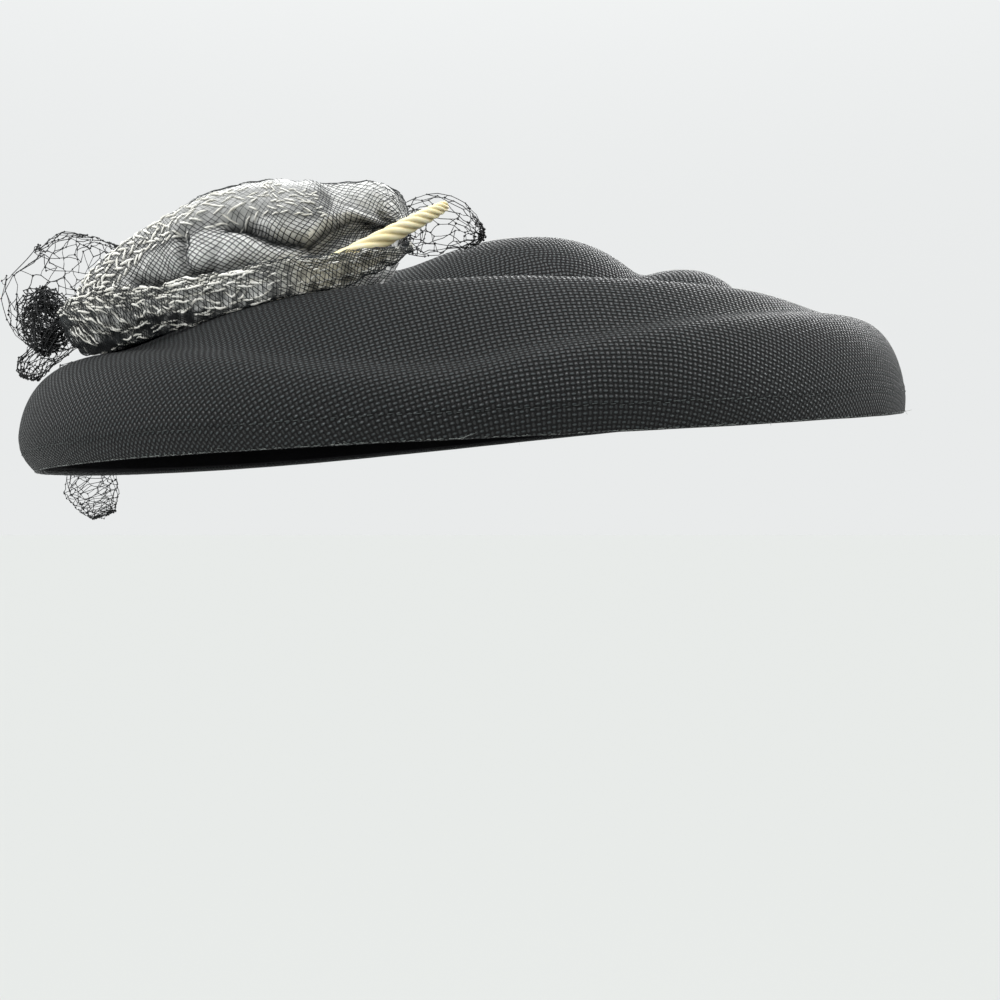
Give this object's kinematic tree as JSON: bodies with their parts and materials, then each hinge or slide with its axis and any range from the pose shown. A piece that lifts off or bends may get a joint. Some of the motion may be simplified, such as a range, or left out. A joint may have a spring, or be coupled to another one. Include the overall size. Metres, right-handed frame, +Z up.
{
  "type": "tilt hat",
  "caption": "Wide saucer-shaped straw tilt hat with a turned-down edge and folded crown, trimmed at one side with a gauze puff, a twisted quill and net veiling.",
  "frame": {"origin": "centre of the rim's plane, where the head enters; the hat keeps the tip to the side and front that it is worn with", "axes": "+X to the wearer's left, +Y to the back of the head, +Z up"},
  "size_m": [0.3456, 0.3077, 0.1192],
  "materials": {
    "straw_cloth": "black plain-woven straw cloth, blocked, with a slight sheen on the floats",
    "velvet": "black short-pile velvet",
    "gauze": "silver-white slubbed gauze under a fine black net",
    "horn": "cream, satin, twisted like a narwhal horn",
    "veiling": "black six-sided net veiling with knotted corners"
  },
  "bodies": {
    "root": {"straw_body": "straw_cloth", "underbrim_facing": "velvet", "gauze_puff": "gauze", "gauze_band": "gauze", "quill": "horn", "veil_pouf": "veiling", "veil_loop": "veiling", "veil_tail": "veiling"}
  },
  "joints": []
}
